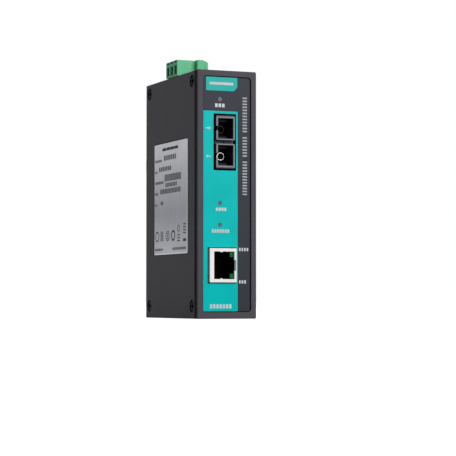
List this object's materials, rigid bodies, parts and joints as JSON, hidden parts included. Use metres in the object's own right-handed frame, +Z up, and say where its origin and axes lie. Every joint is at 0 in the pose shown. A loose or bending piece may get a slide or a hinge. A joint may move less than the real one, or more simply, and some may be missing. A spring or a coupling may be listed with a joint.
{
  "type": "fibre media converter",
  "caption": "Slim upright converter box with duplex fibre ports, a copper jack, indicator windows, a pluggable screw terminal on top and a sprung rail clip behind.",
  "frame": {"origin": "the middle of the housing's underside, which it stands on", "axes": "+X to the right seen from the front, +Y from the front face to the rail clip, +Z up"},
  "size_m": [0.03, 0.0794, 0.125],
  "materials": {
    "bezel": "fine matte grain",
    "black_screw": "black oxide",
    "board": "solder mask",
    "bright_barrel": "turned metal",
    "can": "bare can",
    "case": "fine matte grain",
    "ceramic": "ceramic",
    "chip_black": "moulded epoxy",
    "clamp_steel": "nickel plate",
    "clear_pipe": "frosted clear",
    "clip": "dark paint",
    "dark_barrel": "moulded black",
    "ferrite": "ferrite",
    "fibre_body": "moulded black",
    "gilt": "gold flash",
    "green_light": "tinted light pipe",
    "hook_plastic": "moulded black",
    "jack_liner": "moulded black",
    "jack_shell": "moulded cream",
    "label": "satin metallised film",
    "lamp": "diffused",
    "latch_metal": "zinc plate",
    "lever": "moulded white",
    "overlay": "satin printed sheet",
    "plain_screw": "zinc plated",
    "spring_wire": "spring wire",
    "switch_body": "moulded black",
    "terminal_green": "moulded green",
    "tinned": "tin plate"
  },
  "bodies": {
    "housing": {"board_link_pins": "gilt", "board_screws": "plain_screw", "chip_parts": "ceramic", "clip_screws": "plain_screw", "controller_chip": "chip_black", "cover_screws": "black_screw", "crystal": "can", "duplex_led": "lamp", "duplex_light_pipe": "clear_pipe", "fibre_led": "lamp", "fibre_light_pipe": "clear_pipe", "front_overlay": "overlay", "header_pins": "tinned", "input_capacitor": "can", "input_fuse": "ceramic", "jack_contacts": "gilt", "jack_housing": "jack_shell", "jack_insert": "jack_liner", "latch_spring": "spring_wire", "line_transformer": "chip_black", "lower_jack_light": "green_light", "main_board": "board", "main_shell": "bezel", "output_capacitor": "can", "power_board": "board", "power_inductor": "ferrite", "power_led": "lamp", "power_light_pipe": "clear_pipe", "rail_clip_base": "clip", "regulator_chip": "chip_black", "rx_barrel": "dark_barrel", "rx_latch_hooks": "hook_plastic", "side_cover": "case", "side_label": "label", "switch_block": "switch_body", "terminal_header": "terminal_green", "transceiver_body": "fibre_body", "transceiver_pins": "gilt", "tx_barrel": "bright_barrel", "tx_latch_hooks": "hook_plastic", "upper_jack_light": "green_light"},
    "rail_latch": {"rail_latch": "latch_metal"},
    "terminal_plug": {"terminal_plug": "terminal_green", "plug_contacts": "tinned"},
    "clamp_screw_1": {"clamp_screw_1": "clamp_steel"},
    "clamp_cage_1": {"clamp_cage_1": "clamp_steel"},
    "clamp_screw_2": {"clamp_screw_2": "clamp_steel"},
    "clamp_cage_2": {"clamp_cage_2": "clamp_steel"},
    "clamp_screw_3": {"clamp_screw_3": "clamp_steel"},
    "clamp_cage_3": {"clamp_cage_3": "clamp_steel"},
    "switch_lever_1": {"switch_lever_1": "lever"},
    "switch_lever_2": {"switch_lever_2": "lever"},
    "switch_lever_3": {"switch_lever_3": "lever"},
    "switch_lever_4": {"switch_lever_4": "lever"}
  },
  "joints": [
    {"name": "rail_latch_slide", "type": "slide", "parent": "housing", "child": "rail_latch", "axis": [0, 0, -1], "range_m": [0, 0.0034], "stiffness_N_per_m": 800, "springref_m": -0.004, "deforming": ["latch_spring"]},
    {"name": "terminal_plug_slide", "type": "slide", "parent": "housing", "child": "terminal_plug", "axis": [-1, 0, 0], "range_m": [0, 0.015]},
    {"name": "clamp_screw_1_turn", "type": "hinge", "parent": "terminal_plug", "child": "clamp_screw_1", "pos_m": [-0.0106, -0.00508, 0.12385], "axis": [0, 0, 1], "range_deg": [-865, 0]},
    {"name": "clamp_cage_1_rise", "type": "slide", "parent": "terminal_plug", "child": "clamp_cage_1", "axis": [0, 0, 1], "range_m": [0, 0.0012]},
    {"name": "clamp_screw_2_turn", "type": "hinge", "parent": "terminal_plug", "child": "clamp_screw_2", "pos_m": [-0.0106, 0, 0.12385], "axis": [0, 0, 1], "range_deg": [-865, 0]},
    {"name": "clamp_cage_2_rise", "type": "slide", "parent": "terminal_plug", "child": "clamp_cage_2", "axis": [0, 0, 1], "range_m": [0, 0.0012]},
    {"name": "clamp_screw_3_turn", "type": "hinge", "parent": "terminal_plug", "child": "clamp_screw_3", "pos_m": [-0.0106, 0.00508, 0.12385], "axis": [0, 0, 1], "range_deg": [-865, 0]},
    {"name": "clamp_cage_3_rise", "type": "slide", "parent": "terminal_plug", "child": "clamp_cage_3", "axis": [0, 0, 1], "range_m": [0, 0.0012]},
    {"name": "switch_lever_1_slide", "type": "slide", "parent": "housing", "child": "switch_lever_1", "axis": [1, 0, 0], "range_m": [0, 0.0012]},
    {"name": "switch_lever_2_slide", "type": "slide", "parent": "housing", "child": "switch_lever_2", "axis": [1, 0, 0], "range_m": [0, 0.0012]},
    {"name": "switch_lever_3_slide", "type": "slide", "parent": "housing", "child": "switch_lever_3", "axis": [1, 0, 0], "range_m": [0, 0.0012]},
    {"name": "switch_lever_4_slide", "type": "slide", "parent": "housing", "child": "switch_lever_4", "axis": [1, 0, 0], "range_m": [0, 0.0012]}
  ],
  "couplings": [
    {"joint": "clamp_screw_1_turn", "follows": "clamp_cage_1_rise", "rad_per_m": -12566},
    {"joint": "clamp_screw_2_turn", "follows": "clamp_cage_2_rise", "rad_per_m": -12566},
    {"joint": "clamp_screw_3_turn", "follows": "clamp_cage_3_rise", "rad_per_m": -12566}
  ]
}
